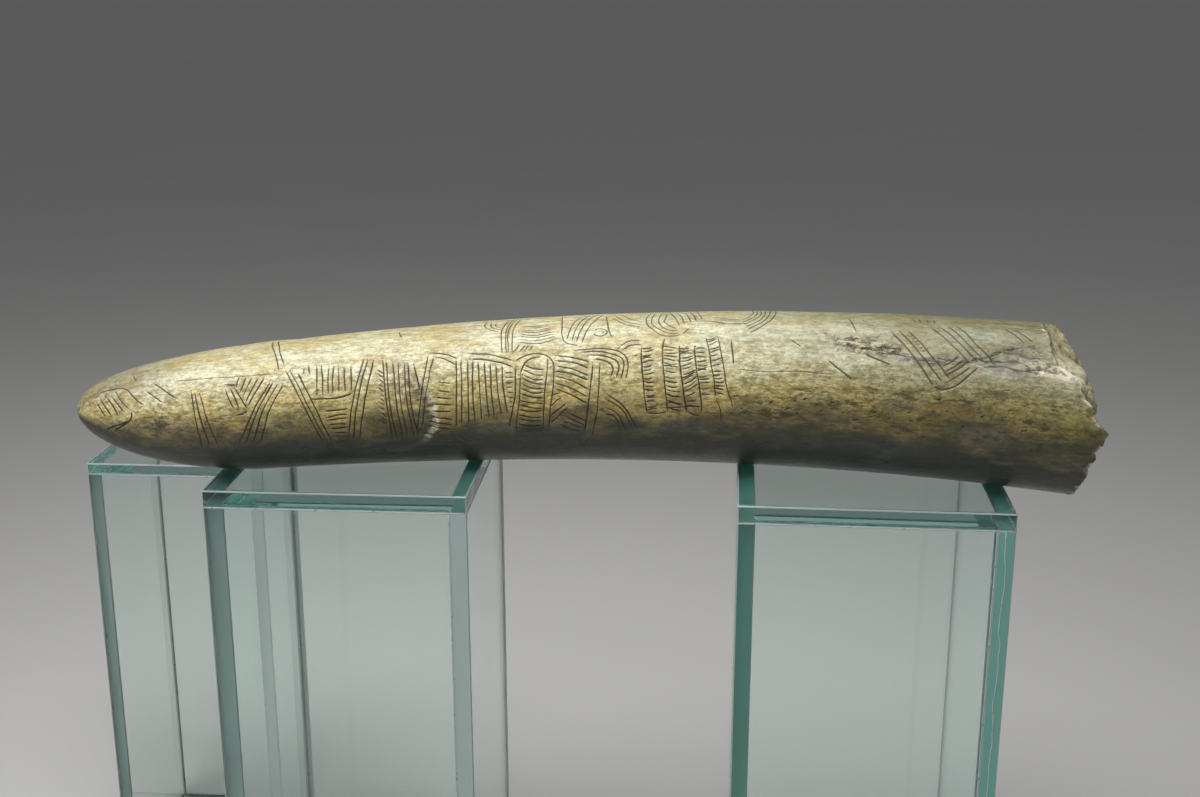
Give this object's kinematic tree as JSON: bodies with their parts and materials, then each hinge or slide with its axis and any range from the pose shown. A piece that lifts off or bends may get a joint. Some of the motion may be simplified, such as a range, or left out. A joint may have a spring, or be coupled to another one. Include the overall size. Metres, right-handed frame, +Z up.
{
  "type": "engraved mammoth tusk on glass risers",
  "caption": "Tip of a mammoth tusk, engraved with hatched bands and ladders and broken off behind, lying on clear glass box risers for display.",
  "frame": {"origin": "on the floor, under the middle of the whole display's bounding box", "axes": "+X along the tusk from its tip to its broken end, +Y away from the side the picture was taken from, +Z up"},
  "size_m": [0.4982, 0.2604, 0.3548],
  "materials": {
    "ivory": "aged ivory, satin, brown stain and dark grooves",
    "glass": "clear float glass, teal at the edges"
  },
  "bodies": {
    "root": {"tusk": "ivory", "left_riser_top": "glass", "left_riser_front": "glass", "left_riser_right": "glass", "left_riser_back": "glass", "left_riser_left": "glass", "right_riser_top": "glass", "right_riser_front": "glass", "right_riser_right": "glass", "right_riser_back": "glass", "right_riser_left": "glass", "rear_riser_top": "glass", "rear_riser_front": "glass", "rear_riser_right": "glass", "rear_riser_back": "glass", "rear_riser_left": "glass"}
  },
  "joints": []
}
